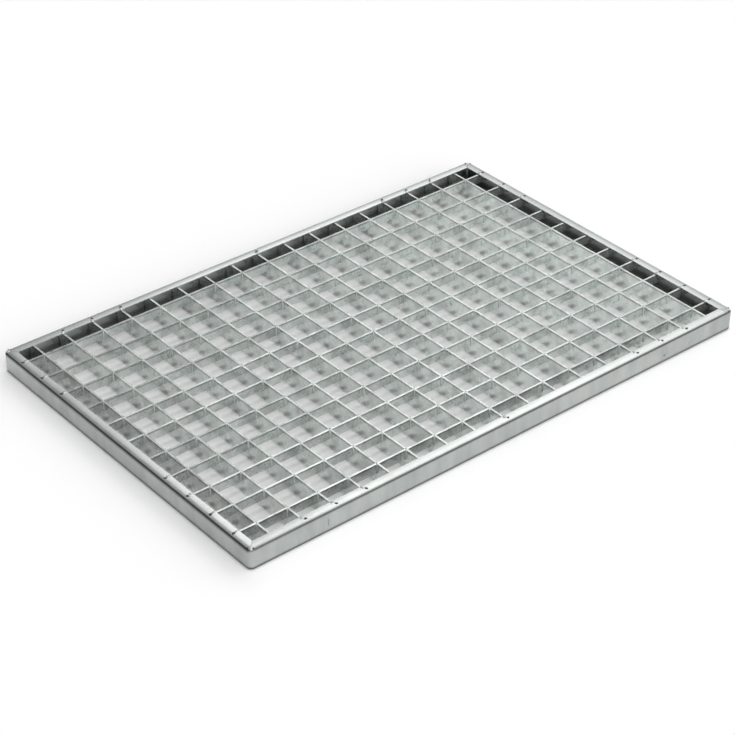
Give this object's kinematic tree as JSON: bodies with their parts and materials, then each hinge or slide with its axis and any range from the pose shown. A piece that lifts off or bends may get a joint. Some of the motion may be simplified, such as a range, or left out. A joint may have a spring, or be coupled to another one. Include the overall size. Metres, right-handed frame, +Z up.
{
  "type": "steel grating panel",
  "caption": "Rectangular galvanised steel grating panel: a square mesh of flat bars on edge, held in a folded channel edge frame, for covering a drain, shaft or doorway recess.",
  "frame": {"origin": "centre of the underside, on the surface that the panel lies on", "axes": "+X along the long side, +Y along the short side and the bearing bars, +Z up through the tread face"},
  "size_m": [0.59, 0.39, 0.022],
  "materials": {
    "frame_zinc": "hot-dip galvanised sheet, satin with a faint mottle",
    "bar_zinc": "hot-dip galvanised flat bar, satin, brighter along the top edges"
  },
  "bodies": {
    "root": {"edge_frame": "frame_zinc", "bar_grid": "bar_zinc"}
  },
  "joints": []
}
